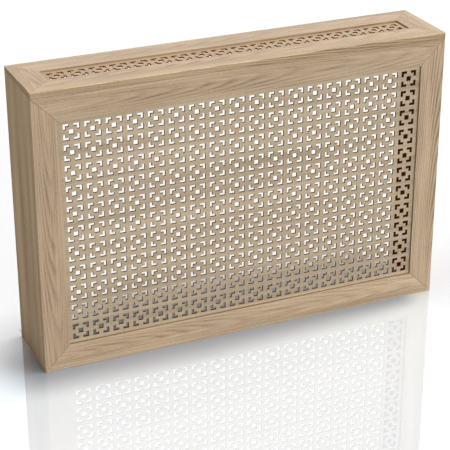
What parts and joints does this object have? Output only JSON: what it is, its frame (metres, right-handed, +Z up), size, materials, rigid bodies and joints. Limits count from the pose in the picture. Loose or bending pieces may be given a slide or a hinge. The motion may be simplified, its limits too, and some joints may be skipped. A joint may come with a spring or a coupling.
{
  "type": "radiator cover cabinet",
  "caption": "Low box cabinet that hides a wall radiator: mitred front frame with a fretwork grille, top board with a fretwork strip, plain sides, open back and underside.",
  "frame": {"origin": "on the floor, under the middle of the cabinet", "axes": "+X along the cabinet to the right as seen from the front, +Y from the front towards the wall, +Z up"},
  "size_m": [0.9, 0.17, 0.606],
  "materials": {
    "oak_frame": "satin laminate, pale greige oak, grain along each member",
    "oak_side": "satin laminate, pale greige oak, upright grain",
    "oak_fretwork": "satin laminate on brown fibreboard, cut edges bare",
    "beech_biscuit": "raw pressed beech",
    "zinc_bracket": "zinc plated",
    "screw_steel": "zinc plated"
  },
  "bodies": {
    "root": {"front_bottom_rail": "oak_frame", "front_right_stile": "oak_frame", "front_top_rail": "oak_frame", "front_left_stile": "oak_frame", "front_grille": "oak_fretwork", "top_front_rail": "oak_frame", "top_right_end": "oak_frame", "top_rear_rail": "oak_frame", "top_left_end": "oak_frame", "top_grille": "oak_fretwork", "left_side_board": "oak_side", "right_side_board": "oak_side", "front_biscuit_bottom_left": "beech_biscuit", "front_biscuit_bottom_right": "beech_biscuit", "front_biscuit_top_right": "beech_biscuit", "front_biscuit_top_left": "beech_biscuit", "top_biscuit_bottom_left": "beech_biscuit", "top_biscuit_bottom_right": "beech_biscuit", "top_biscuit_top_right": "beech_biscuit", "top_biscuit_top_left": "beech_biscuit", "bracket_left_lower": "zinc_bracket", "bracket_left_upper": "zinc_bracket", "bracket_left_top": "zinc_bracket", "bracket_right_lower": "zinc_bracket", "bracket_right_upper": "zinc_bracket", "bracket_right_top": "zinc_bracket", "bracket_rail_left": "zinc_bracket", "bracket_rail_right": "zinc_bracket", "bracket_left_lower_screw_1": "screw_steel", "bracket_left_lower_screw_2": "screw_steel", "bracket_left_upper_screw_1": "screw_steel", "bracket_left_upper_screw_2": "screw_steel", "bracket_left_top_screw_1": "screw_steel", "bracket_left_top_screw_2": "screw_steel", "bracket_right_lower_screw_1": "screw_steel", "bracket_right_lower_screw_2": "screw_steel", "bracket_right_upper_screw_1": "screw_steel", "bracket_right_upper_screw_2": "screw_steel", "bracket_right_top_screw_1": "screw_steel", "bracket_right_top_screw_2": "screw_steel", "bracket_rail_left_screw_1": "screw_steel", "bracket_rail_left_screw_2": "screw_steel", "bracket_rail_right_screw_1": "screw_steel", "bracket_rail_right_screw_2": "screw_steel"}
  },
  "joints": []
}
